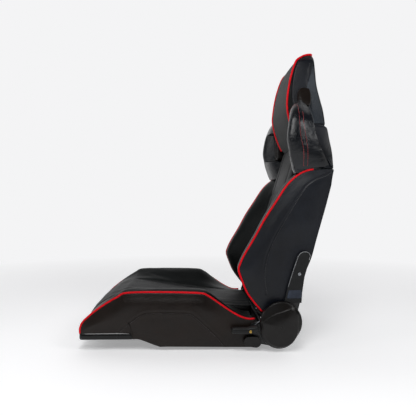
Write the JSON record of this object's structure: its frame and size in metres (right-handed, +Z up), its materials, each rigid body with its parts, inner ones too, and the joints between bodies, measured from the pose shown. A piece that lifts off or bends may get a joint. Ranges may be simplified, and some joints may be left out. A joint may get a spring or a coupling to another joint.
{
  "type": "racing seat",
  "caption": "Reclining sport seat with bolstered cushion, winged backrest, built-in headrest, harness slots, side recliners and a release lever.",
  "frame": {"origin": "centre of the bounding box, on the floor under the mounting rails", "axes": "+X to the sitter's left, -Y towards the front of the cushion, +Z up"},
  "size_m": [0.61, 0.8001, 0.955],
  "materials": {
    "side_leather": "black coated leather, satin, fine grain",
    "seat_leather": "black coated leather, satin, soft grain",
    "head_fabric": "dark grey woven centre panel, matt, faint ribs",
    "gloss_leather": "black coated leather, glossy",
    "red_piping": "bright red sewn welt, satin",
    "cover_plastic": "black moulded plastic, satin grain",
    "frame_paint": "black powder coat",
    "zinc_steel": "zinc plated steel",
    "yellow_zinc": "yellow passivated steel"
  },
  "bodies": {
    "base": {"front_hem": "gloss_leather", "cushion_pad": "seat_leather", "seat_pan": "frame_paint", "base_tube_front": "frame_paint", "base_tube_rear": "frame_paint", "clock_spring": "zinc_steel", "mounting_rail_left": "frame_paint", "mounting_rail_right": "frame_paint", "thigh_bolster_left": "side_leather", "thigh_bolster_right": "side_leather", "cushion_side_panel_left": "side_leather", "cushion_side_panel_right": "side_leather", "cushion_piping_left": "red_piping", "cushion_piping_right": "red_piping", "side_hem_left": "gloss_leather", "side_hem_right": "gloss_leather", "recliner_bracket_left": "zinc_steel", "recliner_bracket_right": "zinc_steel", "recliner_cover_left": "cover_plastic", "recliner_cover_right": "cover_plastic", "bracket_cap_left": "cover_plastic", "bracket_cap_right": "cover_plastic", "pivot_bolt_left": "zinc_steel", "pivot_bolt_right": "zinc_steel", "pawl_pin_left": "zinc_steel", "pawl_pin_right": "zinc_steel"},
    "backrest": {"back_pad": "seat_leather", "back_frame": "frame_paint", "back_cross_tube": "frame_paint", "lumbar_wire_1": "zinc_steel", "lumbar_wire_2": "zinc_steel", "head_hoop": "frame_paint", "back_rear_panel": "side_leather", "head_shell": "gloss_leather", "head_pad": "head_fabric", "head_piping": "red_piping", "back_arm_left": "zinc_steel", "back_arm_right": "zinc_steel", "arm_cover_left": "cover_plastic", "arm_cover_right": "cover_plastic", "arm_screw_left": "zinc_steel", "arm_screw_right": "zinc_steel", "back_bolster_left": "side_leather", "back_bolster_right": "side_leather", "back_side_panel_left": "side_leather", "back_side_panel_right": "side_leather", "back_piping_left": "red_piping", "back_piping_right": "red_piping", "shoulder_wing_left": "gloss_leather", "shoulder_wing_right": "gloss_leather", "shoulder_rear_panel_left": "gloss_leather", "shoulder_rear_panel_right": "gloss_leather", "harness_bezel_left": "cover_plastic", "harness_bezel_right": "cover_plastic"},
    "recline_lever": {"release_rod": "zinc_steel", "lever_arm": "zinc_steel", "lever_grip": "cover_plastic", "lever_screw": "yellow_zinc"},
    "pawl_left": {"lock_pawl_left": "zinc_steel"},
    "pawl_right": {"lock_pawl_right": "zinc_steel"}
  },
  "joints": [
    {"name": "back_recline", "type": "hinge", "parent": "base", "child": "backrest", "pos_m": [0, 0.212, 0.074], "axis": [1, 0, 0], "range_deg": [-60, 20]},
    {"name": "lever_lift", "type": "hinge", "parent": "base", "child": "recline_lever", "pos_m": [0, 0.16, 0.074], "axis": [1, 0, 0], "range_deg": [-20, 0], "stiffness_Nm_per_rad": 1.5, "springref_deg": 20.05},
    {"name": "pawl_left_release", "type": "hinge", "parent": "base", "child": "pawl_left", "pos_m": [0.2687, 0.196, 0.02], "axis": [1, 0, 0], "range_deg": [0, 10]},
    {"name": "pawl_right_release", "type": "hinge", "parent": "base", "child": "pawl_right", "pos_m": [-0.2687, 0.196, 0.02], "axis": [1, 0, 0], "range_deg": [0, 10]}
  ],
  "couplings": [
    {"joint": "pawl_left_release", "follows": "lever_lift", "ratio": -0.5},
    {"joint": "pawl_right_release", "follows": "lever_lift", "ratio": -0.5}
  ]
}
